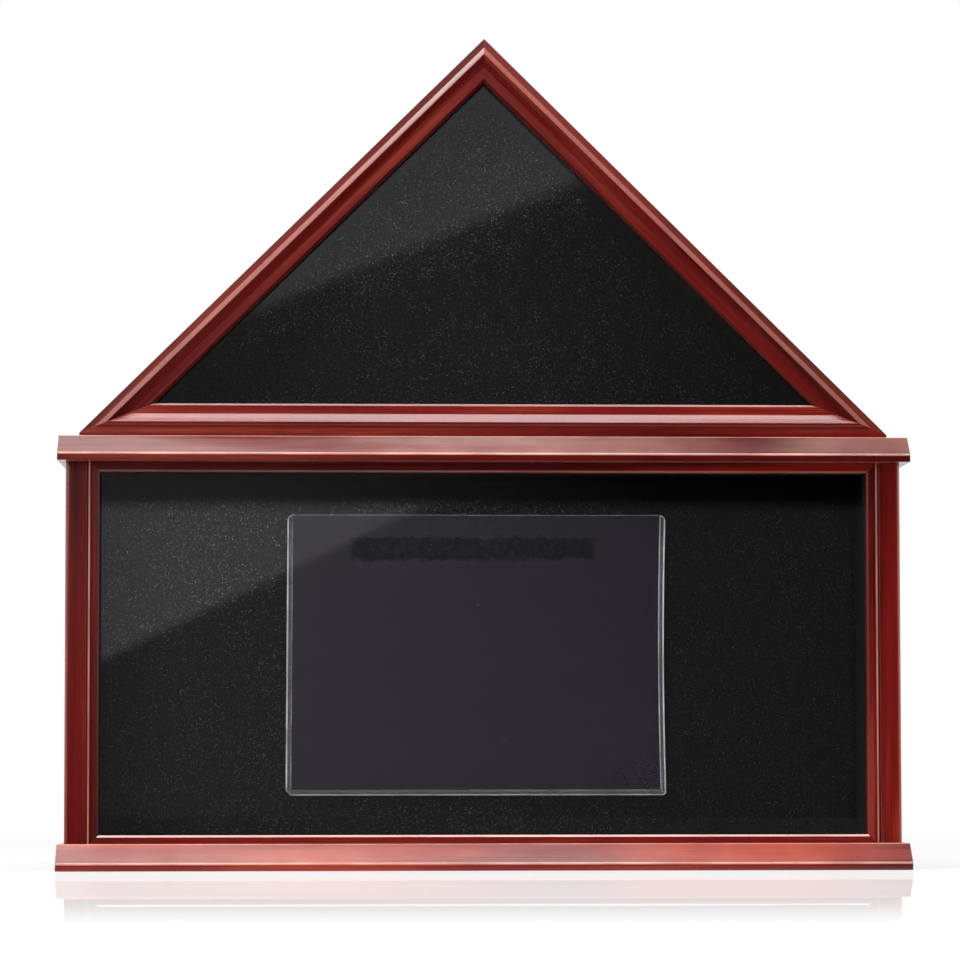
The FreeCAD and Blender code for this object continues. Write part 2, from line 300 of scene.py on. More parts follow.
def buildFelt():
    inputs = {"Vector": "Vector", "Ground": "Color", "Fleck": "Color", "Lint": "Color"}
    group, given, made = makeGroup("feltFibre", inputs, {"Color": "Color", "Height": "Float"})
    place = given["Vector"]
    nap = noiseOf(group, place, *feltPattern["nap"])
    napShade = spread(group, nap, *feltPattern["napShade"])
    specks = noiseMask(group, place, feltPattern["speck"], feltPattern["specks"])
    clouds = noiseMask(group, place, feltPattern["cloud"], feltPattern["clouds"])
    cells = addNode(group, "TexVoronoi", {"Vector": place, "Scale": feltPattern["hairs"]}).outputs
    hair = spread(group, cells["Distance"], *feltPattern["hair"])
    chance = addNode(group, "SeparateColor", {0: cells["Color"]}).outputs[0]
    picked = spread(group, chance, *feltPattern["picked"])
    clumps = noiseMask(group, place, feltPattern["clump"], feltPattern["clumps"])
    lint = times(group, hair, times(group, picked, clumps))
    color = mixColors(group, napShade, given["Ground"], given["Fleck"])
    color = mixColors(group, times(group, specks, clouds), color, given["Fleck"])
    color = mixColors(group, lint, color, given["Lint"])
    group.links.new(color, made["Color"])
    group.links.new(plus(group, nap, specks), made["Height"])
    return group


# Fine wear of panes and films

scuffPattern = {
    "smudge": ((9.0, 9.0, 22.0), 4.0, 0.6),
    "smudges": (0.35, 0.75),
    "dust": 90.0,                       # cells for each metre, a grain of dust in some of them
    "grain": (0.085, 0.02, 0.0, 0.7),   # its step from its edge to its core, in cells
    "patch": (60.0, 0.0),
    "patches": (0.6, 0.68),             # dust comes in patches
}


def buildScuff():
    # smudges and specks of dust
    group, given, made = makeGroup("fineScuff", {"Vector": "Vector"}, {"Smudge": "Float", "Speck": "Float"})
    place = given["Vector"]
    smudges = noiseMask(group, place, scuffPattern["smudge"], scuffPattern["smudges"])
    cells = addNode(group, "TexVoronoi", {"Vector": place, "Scale": scuffPattern["dust"]}).outputs
    grain = spread(group, cells["Distance"], *scuffPattern["grain"])
    patches = noiseMask(group, place, scuffPattern["patch"], scuffPattern["patches"])
    group.links.new(smudges, made["Smudge"])
    group.links.new(times(group, grain, patches), made["Speck"])
    return group


grainGroup = buildGrain()
arrisGroup = buildArris()
feltGroup = buildFelt()
scuffGroup = buildScuff()
print("shared effects built")


# Lacquered mahogany, one material for each member so that its grain follows it and it carries its own
# painted light and shade

wood = {
    "dark": (0.055, 0.0015, 0.0012),
    "red": (0.185, 0.008, 0.006),
    "warm": (0.33, 0.038, 0.018),
    "paintedHighlight": (0.90, 0.47, 0.38),         # painted highlight on the boards and the inner frame, also a painted sheen on their slopes
    "paintedHighlightLegs": (0.85, 0.29, 0.2),      # painted highlight on the posts and on the flag case's moulding
    # painted orange sheen on the plinth's right end
    "glow": (0.66, 0.128, 0.0685),
    # painted shade in quirks, gaps and creases
    "paintedShade": (0.004, 0.001, 0.001),
    "edgeHighlight": 0.3,                        # strength of the painted highlight along the arrises of boards and posts
    "edgeHighlightThin": 0.075,                  # along those of the mouldings
    "patch": (22.0, 2.0),
    "patches": (0.25, 0.7, 0.55, 1.0),  # all painted highlight, sheen and shade is patchy
    "lineCore": 0.5,                    # share of a painted line that has its full strength
    "paintedSheenCore": 0.3,
    "frontal": (0.9, 0.6),              # steps of the normal: not sideways, and sloping up
    "sloping": (0.3, 0.6),
    "arris": 0.0004,
    "relief": 0.0004,
    "bump": 0.05,
    "bumpOuter": 0.0125,                # on the outer boards of the flag case
    "ior": 1.45,
    "members": {   # node: (turn of the grain, shift of the grain, tone: the stain, with painted light and shade in it that make the left members and the cornice darker and the right ones lighter)
        "plinth_board": (0, (0.3, 0.1, 0.0), (1.2, 1.05, 0.9)),
        "cornice_board": (0, (1.7, 0.4, 0.2), (0.55, 0.5, 0.5)),
        "left_post": (90, (0.0, 0.9, 0.3), (0.74, 0.25, 0.25)),
        "right_post": (90, (2.1, 0.2, 0.6), (1.05, 0.8, 0.75)),
        "inner_frame_bottom": (0, (4.1, 0.0, 0.3), (1.1, 1.1, 1.1)),
        "inner_frame_top": (0, (5.3, 0.3, 0.1), (1.25, 1.0, 0.7)),
        "inner_frame_left": (90, (6.2, 0.5, 0.0), (0.48, 0.2, 0.2)),
        "inner_frame_right": (90, (7.4, 0.1, 0.9), (0.9, 0.85, 0.9)),
        "flag_board_bottom": (0, (8.1, 0.6, 0.4), (0.9, 0.9, 0.9)),
        "flag_board_left": (45, (9.3, 0.2, 0.5), (0.9, 0.9, 0.9)),
        "flag_board_right": (-45, (3.3, 0.8, 0.1), (0.9, 0.9, 0.9)),
        "flag_moulding_bottom": (0, (2.9, 0.7, 0.8), (1.0, 1.1, 1.1)),
        "flag_moulding_left": (45, (6.7, 0.9, 0.2), (0.75, 0.7, 0.7)),
        "flag_moulding_right": (-45, (5.9, 0.3, 0.7), (0.75, 0.8, 0.8)),
    },
    "paintedSheen": {   # node: painted sheen and shade on parts of its sloping face (middle, half width, strength, shade)
        "plinth_board": [(-0.2, 0.16, 0.16, "paintedHighlight"), (0.0, 0.13, 0.3, "dark"), (0.2, 0.14, 0.5, "glow")],
        "cornice_board": [(0.02, 0.2, 0.2, "paintedHighlight"), (0.3, 0.1, 0.19, "paintedHighlight")],
    },
    "lines": {   # nodes: their painted lines (edge, distance from it, half width, strength; above zero a painted highlight, below zero painted shade)
        ("plinth_board", "cornice_board"): [
            ("nosing", -0.0145, 0.0014, 0.85),   # painted highlight along both arrises of the sloping front
            ("nosing", 0.0145, 0.0012, 0.85),
        ],
        ("left_post", "right_post"): [
            ("inner", -0.0011, 0.0009, 0.6),     # painted highlight on the crown of the bead
            ("inner", -0.0027, 0.0009, -0.77),   # painted shade in the quirk beside it
            ("inner", -0.005, 0.0045, -0.2475),
            ("outer", 0.0065, 0.003, -0.165),
        ],
        # painted highlight on the outer round, stronger on the right post
        ("left_post",): [("outer", 0.001, 0.0018, 0.12)],
        ("right_post",): [("outer", 0.001, 0.0018, 0.264)],
        ("inner_frame_left", "inner_frame_right"): [
            ("outer", 0.0005, 0.0013, -0.55),
            ("inner", -0.0009, 0.0014, -0.33),
        ],
        ("inner_frame_bottom",): [("top", -0.0006, 0.0012, 0.84)],
        ("inner_frame_top",): [("foot", 0.0004, 0.0009, 0.15)],
        ("flag_moulding_bottom",): [
            ("foot", 0.0092, 0.0006, 0.2),
            ("foot", 0.0077, 0.0009, -0.55),
        ],
        ("flag_moulding_left", "flag_moulding_right"): [
            ("outer", 0.0066, 0.0024, 0.2),      # painted highlight along the crest of the rise
            ("outer", 0.0, 0.0075, 0.072),       # fainter painted highlight over the outer band
            ("outer", 0.0228, 0.0018, -0.5225),  # painted shade at the foot of the bevel
        ],
    },
}


def opaque(color):
    return (*color, 1.0)


def edgesOf(name):
    # direction across a member, and where its edges lie along that direction
    low, high = boxOf(name)
    if name in ("plinth_board", "cornice_board"):
        return (0.0, 1.0, 1.0), {"nosing": low[1] + high[2]}
    if name.endswith(("bottom", "top")):
        return (0.0, 0.0, 1.0), {"foot": low[2], "top": high[2]}
    side = 1.0 if "left" in name else -1.0
    outer, inner = sorted((side * low[0], side * high[0]))
    if "flag" not in name:
        return (side, 0.0, 0.0), {"outer": outer, "inner": inner}
    half = inner - outer
    rise = high[2] - low[2]
    slant = math.hypot(half, rise)
    inwards = (side * rise / slant, 0.0, -half / slant)
    return inwards, {"outer": inwards[0] * side * outer + inwards[2] * low[2]}


def paintLines(tree, name, own, patches, facing, color, highlighted):
    # painted highlights along a member are added to the highlight mask, painted shade goes into the colour
    across, edges = edgesOf(name)
    frontal = spread(tree, offFrom(tree, facing["X"], 0.0), *wood["frontal"])
    lines = [line for members, found in wood["lines"].items() if name in members for line in found]
    for edge, distance, half, strength in lines:
        off = offFrom(tree, dotOf(tree, own, across), edges[edge] + distance)
        line = spread(tree, off, half, half * wood["lineCore"], 0.0, abs(strength))
        line = times(tree, line, patches)
        if "flag" not in name:
            line = times(tree, line, frontal)
        if strength < 0:
            color = mixColors(tree, line, color, opaque(wood["paintedShade"]))
        else:
            highlighted = larger(tree, highlighted, line)
    return color, highlighted


def addPaintedSheen(tree, name, own, patches, facing, color):
    # painted sheen and painted shade on parts along an upward sloping face
    sloping = spread(tree, facing["Z"], *wood["sloping"])
    along = splitOf(tree, own)["X"]
    for middle, half, strength, shade in wood["paintedSheen"].get(name, []):
        off = offFrom(tree, along, middle)
        paintedSheen = spread(tree, off, half, half * wood["paintedSheenCore"], 0.0, strength)
        paintedSheen = times(tree, times(tree, paintedSheen, patches), sloping)
        color = mixColors(tree, paintedSheen, color, opaque(wood[shade]))
    return color


def mahogany(name, turn, shift, tone):
    material, tree, surface = newMaterial("mahogany" + name.title().replace("_", ""))
    isBoard = "board" in name
    paintedHighlight = wood["paintedHighlight"] if isBoard or "inner" in name else wood["paintedHighlightLegs"]
    edgeHighlight = wood["edgeHighlight"] if isBoard or "post" in name else wood["edgeHighlightThin"]
    bump = wood["bumpOuter"] if "flag_board" in name else wood["bump"]
    own = ownPlace(tree)
    turned = addNode(tree, "Mapping", {
        "Vector": own,
        "Location": shift,
        "Rotation": (0.0, math.radians(turn), 0.0),   # the pattern's own X lies along the member
    })
    # the tone carries painted light and shade as well as the stain
    shades = {key: opaque(np.multiply(wood[key.lower()], tone)) for key in ("Dark", "Red", "Warm")}
    grain = addGroup(tree, grainGroup, {"Vector": turned.outputs["Vector"], **shades})
    arris = addGroup(tree, arrisGroup, {"Radius": wood["arris"]})
    patches = noiseMask(tree, own, wood["patch"], wood["patches"])
    facing = splitOf(tree, addNode(tree, "NewGeometry").outputs["Normal"])
    # painted highlight along every arris
    highlighted = times(tree, arris["Edge"], edgeHighlight)
    color, highlighted = paintLines(tree, name, own, patches, facing, grain["Color"], highlighted)
    color = addPaintedSheen(tree, name, own, patches, facing, color)
    relief = addNode(tree, "Bump", {
        "Strength": bump,
        "Distance": wood["relief"],
        "Height": grain["Height"],
        "Normal": arris["Normal"],
    })
    shader = addShader(tree, "BsdfPrincipled", {
        "Base Color": mixColors(tree, highlighted, color, opaque(paintedHighlight)),
        "Roughness": grain["Roughness"],
        "IOR": wood["ior"],
        "Normal": relief.outputs[0],
    })
    tree.links.new(shader, surface)
    return material


for member, (turn, shift, tone) in wood["members"].items():
    paint([member], mahogany(member, turn, shift, tone))
print("wood painted:", len(wood["members"]), "members")


# Clear panes

pane = {
    "nodes": ["certificate_pane", "flag_pane"],
    "tint": (0.97, 0.985, 0.98, 1),
    "ior": 1.46,
    "smudged": (0.0, 1.0, 0.0, 0.012),   # step of the roughness over a smudge
}


def clearSheet():
    # light from the lamps goes straight through
    material, tree, surface = newMaterial("clearAcrylic")
    scuff = addGroup(tree, scuffGroup, {"Vector": ownPlace(tree)})
    glass = addShader(tree, "BsdfPrincipled", {
        "Base Color": pane["tint"],
        "Roughness": spread(tree, scuff["Smudge"], *pane["smudged"]),
        "IOR": pane["ior"],
        "Transmission Weight": 1.0,
    })
    through = addShader(tree, "BsdfTransparent", {"Color": pane["tint"]})
    path = addNode(tree, "LightPath").outputs
    passing = larger(tree, path["Is Shadow Ray"], path["Is Diffuse Ray"])
    tree.links.new(mixShaders(tree, passing, glass, through), surface)
    return material


paint(pane["nodes"], clearSheet())
print("panes painted")


# Felt

felt = {
    "ground": (0.003, 0.0028, 0.003, 1),
    "fleck": (0.119, 0.115, 0.117, 1),
    "lint": (0.64, 0.63, 0.63, 1),
    "roughness": 0.95,
    "specular": 0.1,
    "bump": 0.35,
    "relief": 0.0005,
    "baseTop": (0.294, 0.281),              # steps of height, above which painted shade under the frame hides the base's flecks and lint
    "flagFoot": (0.32, 0.33),               # and from where the flag case's felt begins
    "baseAcross": (0.16, 0.08, 0.5, 1.1),   # steps from right to left: painted light, stronger to the left
    "flagAcross": (0.15, -0.2, 0.95, 1.4),
    "slope": 0.41,                          # of a line across, above which more light is painted
    "baseAbove": (0.272, 0.31),
    "flagAbove": (0.46, 0.52),
    "plain": (0.0, 1.0, 0.42, 1.0),         # step from below that line to above it
}


def blackFelt():
    material, tree, surface = newMaterial("blackFelt")
    place = ownPlace(tree)
    spot = splitOf(tree, place)
    # flecks and lint show only where light is painted on the felt: towards the left, above a sloping line,
    # not under the frame at the top
    inFlag = spread(tree, spot["Z"], *felt["flagFoot"])
    inBase = minus(tree, 1.0, inFlag)
    base = spread(tree, spot["Z"], *felt["baseTop"])
    base = times(tree, base, spread(tree, spot["X"], *felt["baseAcross"]))
    flag = times(tree, inFlag, spread(tree, spot["X"], *felt["flagAcross"]))
    above = minus(tree, spot["Z"], times(tree, spot["X"], felt["slope"]))
    baseAbove = times(tree, inBase, spread(tree, above, *felt["baseAbove"]))
    upper = larger(tree, baseAbove, spread(tree, above, *felt["flagAbove"]))
    paintedFeltLight = times(tree, larger(tree, base, flag), spread(tree, upper, *felt["plain"]))
    fibre = addGroup(tree, feltGroup, {
        "Vector": place,
        "Ground": felt["ground"],
        "Fleck": mixColors(tree, paintedFeltLight, felt["ground"], felt["fleck"]),
        "Lint": mixColors(tree, paintedFeltLight, felt["ground"], felt["lint"]),
    })
    bump = addNode(tree, "Bump", {
        "Strength": felt["bump"],
        "Distance": felt["relief"],
        "Height": fibre["Height"],
    })
    shader = addShader(tree, "BsdfPrincipled", {
        "Base Color": fibre["Color"],
        "Roughness": felt["roughness"],
        "Specular IOR Level": felt["specular"],
        "Normal": bump.outputs[0],
    })
    tree.links.new(shader, surface)
    return material


feltMaterial = blackFelt()
paint([name for name in nodes if "lining" in name], feltMaterial)
print("felt painted")

feltSheets = {
    "thickness": 0.0008,
    "reach": 0.00047,                # every edge further out, into the corner of the linings
    "spacing": 0.006,
    "wave": 0.00015,
    "pitches": (17.0, 23.0, 41.0),   # of the waves across, up and slanting, in radians for each metre
    "point": 0.998,                  # how far a triangle narrows up to its apex
}


def feltSheet(name, node, body, taper):
    # front(x, z) = face + wave (1 + (sin(across x) sin(up z) + sin(slanting (x + z))) / 2);
    # the width narrows upwards by taper, and a triangle's corners move out by more than its edges
    low, high = boxOf(node)
    reach = feltSheets["reach"]
    half = (high[0] - low[0]) / 2
    rise = high[2] - low[2]
    slant = math.hypot(half, rise)
    sideways, upwards = ((slant + half) / rise, slant / half) if taper else (1.0, 1.0)
    width = 2 * (half + reach * sideways)
    height = rise + reach * (1 + upwards)
    columns = int(width / feltSheets["spacing"]) + 1
    rows = int(height / feltSheets["spacing"]) + 1
    u, v = gridOf(np.linspace(0, 1, columns), np.linspace(0, 1, rows))
    x = (low[0] + high[0]) / 2 + (u - 0.5) * width * (1 - taper * v)
    z = low[2] - reach + v * height
    across, up, slanting = feltSheets["pitches"]
    ripple = np.sin(across * x) * np.sin(up * z) + np.sin(slanting * (x + z))
    y = low[1] + feltSheets["wave"] * (1 + ripple / 2)
    piece = addPiece(name, x, y, z, feltMaterial)
    thicken(piece, feltSheets["thickness"])
    belong(piece, body, node)


feltSheet("certificateFelt", "certificate_back_felt", "certificate_back", 0.0)
feltSheet("flagFelt", "flag_back_felt", "flag_back", feltSheets["point"])
print("felt laid")


# Document sleeve: two films welded round three sides, hung on a strip of hook tape

vinyl = {
    "tint": (0.037, 0.0265, 0.045, 1),
    "bright": (0.9, 0.9, 0.92, 1),         # painted glint of the rim and ridges, and the colour of dust
    "roughness": 0.3,
    "ior": 1.45,
    "haze": (0.0, 1.0, 0.27, 0.33),        # step of the alpha over a smudge
    "dustAlpha": 0.8,
    "pressed": (-0.0035, 0.0, 0.1, 1.0),   # step of the haze at the edge of the tape that presses on it
    "fray": (230.0, 3.0),                  # that edge is ragged
    "frayMiddle": 0.45,
    "frayReach": 0.014,
    "patch": (190.0, 3.0),                 # and the pressed part is patchy
    "patches": (0.42, 0.75, 0.0, 0.32),
    "rim": (-0.0009, -0.0005, 0.0, 0.42),  # painted glint along the open top, a step below it
}


def clearVinyl():
    # hazy film, clearer where the tape presses on it
    material, tree, surface = newMaterial("clearVinyl")
    place = ownPlace(tree)
    spot = splitOf(tree, place)
    scuff = addGroup(tree, scuffGroup, {"Vector": place})
    low, high = boxOf("hook_tape")
    middle = (low + high) / 2
    reach = (high - low) / 2
    outX = minus(tree, offFrom(tree, spot["X"], middle[0]), reach[0])
    outZ = minus(tree, offFrom(tree, spot["Z"], middle[2]), reach[2])
    fray = minus(tree, noiseOf(tree, place, *vinyl["fray"]), vinyl["frayMiddle"])
    outside = minus(tree, larger(tree, outX, outZ), times(tree, fray, vinyl["frayReach"]))
    free = spread(tree, outside, *vinyl["pressed"])
    free = plus(tree, free, noiseMask(tree, place, vinyl["patch"], vinyl["patches"]))
    free = doMath(tree, "MINIMUM", free, 1.0)
    haze = times(tree, spread(tree, scuff["Smudge"], *vinyl["haze"]), free)
    top = boxOf("sleeve_front_film")[1][2]
    # painted glint along the open top, joined with the dust specks
    rim = spread(tree, minus(tree, spot["Z"], top), *vinyl["rim"])
    dust = larger(tree, scuff["Speck"], rim)
    shader = addShader(tree, "BsdfPrincipled", {
        "Base Color": mixColors(tree, dust, vinyl["tint"], vinyl["bright"]),
        "Roughness": vinyl["roughness"],
        "IOR": vinyl["ior"],
        "Alpha": larger(tree, haze, times(tree, dust, vinyl["dustAlpha"])),
    })
    tree.links.new(shader, surface)
    return material


weldFinish = {
    "band": (0.2, 0.195, 0.215, 1),
    "roughness": 0.2,
    "alpha": (0.0, 1.0, 0.38, 0.95),        # step from the band to a ridge's painted glint
    "outer": (0.36, 0.2),                   # steps over the width of the weld, 0 at its outer edge
    "inner": (0.78, 0.9),
    "ends": (0.497, 0.4985),                # step along the weld, away from its middle
    "innerAcross": (-0.1, 0.1, 0.35, 0.8),  # the painted glint on the inner ridge is fainter on the left
    "patch": (45.0, 3.0),
    "patches": (0.3, 0.7, 0.6, 1.0),
    "upright": (0.004, 0.008, 0.55, 1.0),   # step above the foot: the painted glint is fainter along the bottom than up the sides
}


def weldVinyl():
    # clouded by the weld, with a painted glint on the ridge along each edge
    material, tree, surface = newMaterial("weldVinyl")
    grid = splitOf(tree, addNode(tree, "TexCoord").outputs["UV"])
    place = ownPlace(tree)
    spot = splitOf(tree, place)
    ends = spread(tree, offFrom(tree, grid["Y"], 0.5), *weldFinish["ends"])
    outer = larger(tree, spread(tree, grid["X"], *weldFinish["outer"]), ends)
    inner = spread(tree, grid["X"], *weldFinish["inner"])
    inner = times(tree, inner, spread(tree, spot["X"], *weldFinish["innerAcross"]))
    foot = boxOf("sleeve_seam")[0][2]
    upright = spread(tree, minus(tree, spot["Z"], foot), *weldFinish["upright"])
    patches = noiseMask(tree, place, weldFinish["patch"], weldFinish["patches"])
    ridgeGlint = times(tree, larger(tree, outer, inner), times(tree, patches, upright))
    shader = addShader(tree, "BsdfPrincipled", {
        "Base Color": mixColors(tree, ridgeGlint, weldFinish["band"], vinyl["bright"]),
        "Roughness": weldFinish["roughness"],
        "Alpha": spread(tree, ridgeGlint, *weldFinish["alpha"]),
    })
    tree.links.new(shader, surface)
    return material


vinylMaterial = clearVinyl()
weldMaterial = weldVinyl()

sleeve = {
    "film": 0.0003,             # thickness of a film
    "bulge": 0.0011,            # front film in front of a flat sheet
    "fullness": 0.6,            # lower is fuller
    "corner": 0.005,            # rounded corners at the open top
    "cut": 0.004,               # cut off the lower left corner, half of it off the right one
    "bow": 0.0016,              # right edge drawn in at the middle
    "lean": (0.0013, 0.0011),   # left edge further out, at the top and more at the bottom
    "columns": 75,
    "rows": (3, 45, 8),         # in the cut corners, between them and in the rounded corners
    "crowd": (0.9, 1.5),        # the last of these start at this share and lie closer to the top
    "weld": 0.0046,             # width of the weld
    "weldFront": 0.0007,        # its face in front of the seam's
    "weldWall": 0.0006,
    "bead": 0.0004,             # height of its two ridges
    "weldGrid": (17, 9),        # points over its width and along each side
}


def film(name, node, bulge):
    # half width(z) = half - (r - sqrt(r r - d d)) where d is the height inside the rounded corner;
    # left edge(v) = left - lean(v) + cut(v), right edge(v) = right - 4 bow v (1 - v) - its smaller cut;
    # front(u, v) = face - bulge sin(pi u) sin(pi v)^fullness
    low, high = boxOf(node)
    width = high[0] - low[0]
    height = high[2] - low[2]
    radius = sleeve["corner"]
    cutShare = sleeve["cut"] / height
    bend = radius / height
    cutRows, sideRows, bendRows = sleeve["rows"]
    first, power = sleeve["crowd"]
    rows = np.concatenate([
        np.linspace(0, cutShare, cutRows)[:-1],
        np.linspace(cutShare, 1 - bend, sideRows),
        1 - bend * np.linspace(first, 0, bendRows) ** power,
    ])
    u, v = gridOf(np.linspace(0, 1, sleeve["columns"]), rows)
    z = low[2] + v * height
    inside = np.clip(z - (high[2] - radius), 0, radius)
    half = width / 2 - (radius - np.sqrt(radius ** 2 - inside ** 2))
    cut = np.clip(sleeve["cut"] - (z - low[2]), 0, None)
    lean = sleeve["lean"][0] + sleeve["lean"][1] * (1 - v)
    drawn = sleeve["bow"] * 4 * v * (1 - v) + np.clip(cut - sleeve["cut"] / 2, 0, None)
    x = (low[0] + high[0]) / 2 + (2 * u - 1) * half + (cut - lean) * (1 - u) - drawn * u
    y = low[1] - bulge * np.sin(math.pi * u) * np.sin(math.pi * v) ** sleeve["fullness"]
    piece = addPiece(name, x, y, z, vinylMaterial)
    thicken(piece, sleeve["film"])
    belong(piece, "certificate_back", node)


def weld():
    # a ridged band down the left side, along the bottom and up the right side, with s = 0..1 over
    # its width and t = 0..1 along each side; height(s) = bead (cos(4 pi s) + 1) / 2
    low, high = boxOf("sleeve_seam")
    columns, rows = sleeve["weldGrid"]
    s = np.linspace(0, 1, columns)[:, None]
    t = np.linspace(0, 1, rows)[None, :]
    radius = sleeve["corner"]
    inset = sleeve["weld"] * s
    cut = sleeve["cut"] * (1 - s)
    left = low[0] + inset
    right = high[0] - inset
    bottom = low[2] + inset
    top = high[2] - radius + np.sqrt(radius ** 2 - np.clip(radius - inset, 0, radius) ** 2)
    leanTop, leanMore = sleeve["lean"]
    x = np.hstack([
        left - leanTop - leanMore * t,
        left - leanTop - leanMore + cut,
        right - cut / 2,
        right - sleeve["bow"] * 4 * t * (1 - t),
    ])
    z = np.hstack([
        top * (1 - t) + (bottom + cut) * t,
        bottom,
        bottom,
        (bottom + cut / 2) * (1 - t) + top * t,
    ])
    ridges = sleeve["bead"] * (np.cos(4 * math.pi * s) + 1) / 2
    y = np.broadcast_to(low[1] - sleeve["weldFront"] - ridges, x.shape)
    piece = addPiece("sleeveWeld", x, y, z, weldMaterial)
    thicken(piece, sleeve["weldWall"])
    belong(piece, "certificate_back", "sleeve_seam")


hookTape = {
    "color": (0.004, 0.004, 0.0055, 1),
    "thread": (0.016, 0.015, 0.019, 1),
    "roughness": 0.6,
    "specular": 0.2,
    "hooks": 700.0,                # hooks for each metre
    "unevenness": 0.4,
    "tip": (0.45, 0.1),            # step of a hook from its edge to its tip
    "tipShade": 0.2,
    "lint": (300.0, 3.0),
    "lints": (0.55, 0.7),
    "bump": 0.3,
    "relief": 0.0006,
    "ragged": 0.0006,              # fray of the edges
    "waves": ((900.0, 0.0), (2300.0, 1.0), (5100.0, 2.0)),   # pitch and start along the long edges
    "endWave": 2100.0,             # pitch along the ends
    "curl": 0.0002,                # long edges curl back
    "behind": 0.0003,              # its back in front of the solid's
    "grid": (240, 25),
}


def hookFabric():
    # rows of small hooks on a woven strip
    material, tree, surface = newMaterial("hookTape")
    place = ownPlace(tree)
    sockets = {"Vector": place, "Scale": hookTape["hooks"], "Randomness": hookTape["unevenness"]}
    hooks = addNode(tree, "TexVoronoi", sockets).outputs["Distance"]
    tips = spread(tree, hooks, *hookTape["tip"])
    lint = noiseMask(tree, place, hookTape["lint"], hookTape["lints"])
    raised = larger(tree, times(tree, tips, hookTape["tipShade"]), lint)
    bump = addNode(tree, "Bump", {
        "Strength": hookTape["bump"],
        "Distance": hookTape["relief"],
        "Height": tips,
    })
    shader = addShader(tree, "BsdfPrincipled", {
        "Base Color": mixColors(tree, raised, hookTape["color"], hookTape["thread"]),
        "Roughness": hookTape["roughness"],
        "Specular IOR Level": hookTape["specular"],
        "Normal": bump.outputs[0],
    })
    tree.links.new(shader, surface)
    return material


def layTape():
    # fray(x) = ragged times the mean of sin(pitch x + start) over its waves, growing to the long edges;
    # y(v) = face + curl (2v - 1)^6
    low, high = boxOf("hook_tape")
    columns, rows = hookTape["grid"]
    u, v = gridOf(np.linspace(0, 1, columns), np.linspace(0, 1, rows))
    x = low[0] + u * (high[0] - low[0])
    waves = [np.sin(pitch * x + start) for pitch, start in hookTape["waves"]]
    fray = hookTape["ragged"] * np.mean(waves, axis=0)
    z = low[2] + v * (high[2] - low[2]) + fray * (2 * v - 1) ** 3
    x = x + hookTape["ragged"] * np.sin(hookTape["endWave"] * z) * (2 * u - 1) ** 9
    y = low[1] + hookTape["curl"] * (2 * v - 1) ** 6
    piece = addPiece("hookTape", x, y, z, hookFabric())
    thicken(piece, high[1] - low[1] - hookTape["behind"])
    belong(piece, "certificate_back", "hook_tape")


layTape()
film("sleeveBackFilm", "sleeve_back_film", 0.0)
film("sleeveFrontFilm", "sleeve_front_film", sleeve["bulge"])
weld()
print("sleeve hung")


# Hardboard backs

board = {
    "dark": (0.13, 0.062, 0.028, 1),
    "light": (0.27, 0.15, 0.075, 1),
    "fibre": (230.0, 4.0, 0.7),
    "fibreShare": 0.65,
    "cloud": (6.0, 3.0),
    "cloudShare": 0.35,
    "tones": (0.36, 0.64),
    "speck": (520.0, 0.0),
    "specks": (0.62, 0.72, 0.0, 0.6),
    "gloss": (0.3, 0.7, 0.45, 0.65),   # step of the roughness over the clouds
    "bump": 0.15,
    "relief": 0.0003,
}


def hardboard():
    # pressed fibres in clouds, with darker specks
    material, tree, surface = newMaterial("hardboard")
    place = ownPlace(tree)
    fibre = noiseOf(tree, place, *board["fibre"])
    cloud = noiseOf(tree, place, *board["cloud"])
    specks = noiseMask(tree, place, board["speck"], board["specks"])
    tone = plus(tree, times(tree, fibre, board["fibreShare"]), times(tree, cloud, board["cloudShare"]))
    color = mixColors(tree, spread(tree, tone, *board["tones"]), board["dark"], board["light"])
    bump = addNode(tree, "Bump", {
        "Strength": board["bump"],
        "Distance": board["relief"],
        "Height": fibre,
    })
    shader = addShader(tree, "BsdfPrincipled", {
        "Base Color": mixColors(tree, specks, color, board["dark"]),
        "Roughness": spread(tree, cloud, *board["gloss"]),
        "Normal": bump.outputs[0],
    })
    tree.links.new(shader, surface)
    return material


# Plated buttons and screws

steel = {
    "zincSteel": ((0.22, 0.22, 0.225, 1), (0.42, 0.415, 0.405, 1)),   # darker and lighter shade
    "screwSteel": ((0.4, 0.38, 0.33, 1), (0.62, 0.59, 0.52, 1)),
    "cloud": (160.0, 3.0),
    "clouds": (0.3, 0.7),
    "scratch": ((300.0, 300.0, 4200.0), 1.0),
    "scratches": (0.6, 0.7),
    "gloss": (0.3, 1.4, 0.24, 0.45),   # step of the roughness over clouds and scratches
    "arris": 0.0003,
}


def platedSteel(name):
    # clouded, with fine scratches
    material, tree, surface = newMaterial(name)
    place = ownPlace(tree)
    dark, light = steel[name]
    cloud = noiseOf(tree, place, *steel["cloud"])
    scratches = noiseMask(tree, place, steel["scratch"], steel["scratches"])
    arris = addGroup(tree, arrisGroup, {"Radius": steel["arris"]})
    shader = addShader(tree, "BsdfPrincipled", {
        "Base Color": mixColors(tree, spread(tree, cloud, *steel["clouds"]), dark, light),
        "Metallic": 1.0,
        "Roughness": spread(tree, plus(tree, cloud, scratches), *steel["gloss"]),
        "Normal": arris["Normal"],
    })
    tree.links.new(shader, surface)
    return material


# Beech dowels

beech = {
    "dark": (0.46, 0.28, 0.15, 1),
    "light": (0.68, 0.48, 0.3, 1),
    "ray": ((1300.0, 1300.0, 160.0), 1.0),
    "rays": (0.62, 0.4),
    "roughness": 0.6,
}


